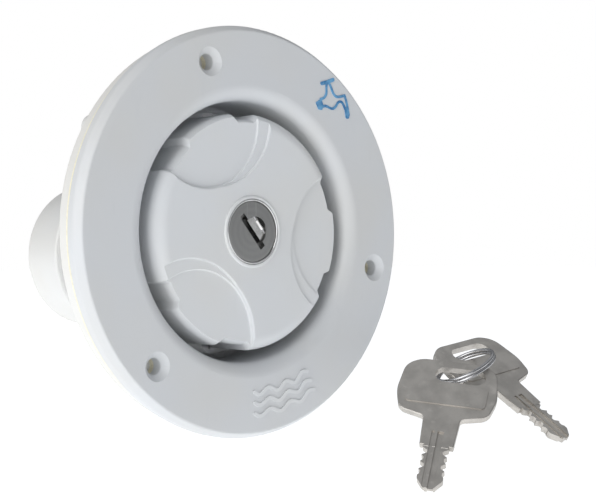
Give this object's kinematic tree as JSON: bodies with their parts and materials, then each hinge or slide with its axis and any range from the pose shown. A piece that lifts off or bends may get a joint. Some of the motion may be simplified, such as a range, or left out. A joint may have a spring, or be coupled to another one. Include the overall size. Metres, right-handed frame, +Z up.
{
  "type": "lockable recessed deck fill",
  "caption": "Round recessed water filler with a gripped screw-in cap, central key lock, hose tail and vent behind the flange, and keys on a split ring.",
  "frame": {"origin": "on the filler's axis, in the plane where the spacer ring meets the wall, at the centre of the screw-hole circle", "axes": "+Y into the wall along the filler's axis, front face looks along -Y, +Z up, +X to the right seen from the front"},
  "size_m": [0.1261, 0.1467, 0.125],
  "materials": {
    "housing_plastic": "satin moulded white",
    "cap_plastic": "satin moulded white",
    "emblem_plastic": "satin moulded white",
    "spacer_plastic": "plain white",
    "tail_plastic": "smooth white",
    "neck_plastic": "white",
    "inner_plastic": "pale grey",
    "gasket_foam": "cream closed-cell foam",
    "seal_rubber": "black",
    "symbol_blue": "blue inlay",
    "screw_steel": "stainless",
    "lock_bezel": "polished rim",
    "lock_face": "satin turned face",
    "lock_steel": "zinc plated",
    "lock_brass": "plain brass",
    "shutter_bright": "polished",
    "ring_steel": "nickel wire",
    "key_nickel": "worn nickel plate"
  },
  "bodies": {
    "housing": {"flange_housing": "housing_plastic", "flange_gasket": "gasket_foam", "spacer_ring": "spacer_plastic", "tap_symbol": "symbol_blue", "wave_emblem": "emblem_plastic", "neck_ring": "neck_plastic", "neck_seal": "seal_rubber", "clamp_screws": "screw_steel", "tail_seal": "seal_rubber", "hose_tail": "tail_plastic", "vent_nipple": "tail_plastic", "vent_seal": "seal_rubber"},
    "seal_carrier": {"seal_plate": "inner_plastic", "plug_seal": "seal_rubber"},
    "cap": {"cap_shell": "cap_plastic", "cap_plug": "inner_plastic", "cap_screws": "screw_steel", "swivel_screw": "screw_steel", "lock_barrel": "lock_bezel", "lock_nut": "lock_brass"},
    "lock_core": {"lock_core": "lock_face", "wafers": "lock_brass", "shutter_pin": "screw_steel", "lock_cam": "lock_steel", "cam_screw": "screw_steel"},
    "shutter": {"dust_shutter": "shutter_bright"},
    "bolt_right": {"bolt_right": "lock_steel"},
    "bolt_left": {"bolt_left": "lock_steel"},
    "key_ring": {"key_ring": "ring_steel"},
    "key_front": {"key_front": "key_nickel"},
    "key_behind": {"key_behind": "key_nickel"}
  },
  "joints": [
    {"name": "cap_lift", "type": "slide", "parent": "housing", "child": "seal_carrier", "axis": [0, -1, 0], "range_m": [0, 0.0214]},
    {"name": "cap_turn", "type": "hinge", "parent": "seal_carrier", "child": "cap", "pos_m": [0, 0, 0], "axis": [0, -1, 0], "range_deg": [0, 240]},
    {"name": "lock_turn", "type": "hinge", "parent": "cap", "child": "lock_core", "pos_m": [0, 0, 0], "axis": [0, 1, 0], "range_deg": [0, 90]},
    {"name": "bolt_right_slide", "type": "slide", "parent": "cap", "child": "bolt_right", "axis": [1, 0, 0], "range_m": [0, 0.00401]},
    {"name": "bolt_left_slide", "type": "slide", "parent": "cap", "child": "bolt_left", "axis": [-1, 0, 0], "range_m": [0, 0.00401]},
    {"name": "shutter_swing", "type": "hinge", "parent": "lock_core", "child": "shutter", "pos_m": [0.00283, -0.0099, 0.00238], "axis": [0.6428, 0, -0.766], "range_deg": [0, 45], "stiffness_Nm_per_rad": 0.002, "springref_deg": -11.46},
    {"name": "key_set_slide", "type": "slide", "parent": "housing", "child": "key_ring", "axis": [1, 0, 0], "range_m": [0, 0.03]},
    {"name": "key_front_swing", "type": "hinge", "parent": "key_ring", "child": "key_front", "pos_m": [0.03892, -0.05005, -0.04145], "axis": [-0.513, -0.4684, 0.7193], "range_deg": [-9, 9]},
    {"name": "key_behind_swing", "type": "hinge", "parent": "key_ring", "child": "key_behind", "pos_m": [0.05215, -0.04215, -0.03576], "axis": [-0.1336, -0.5542, 0.8216], "range_deg": [-9, 9]}
  ],
  "couplings": [
    {"joint": "cap_lift", "follows": "cap_turn", "m_per_rad": 0.005093},
    {"joint": "bolt_right_slide", "follows": "lock_turn", "m_per_rad": 0.0025465},
    {"joint": "bolt_left_slide", "follows": "lock_turn", "m_per_rad": 0.0025465}
  ]
}
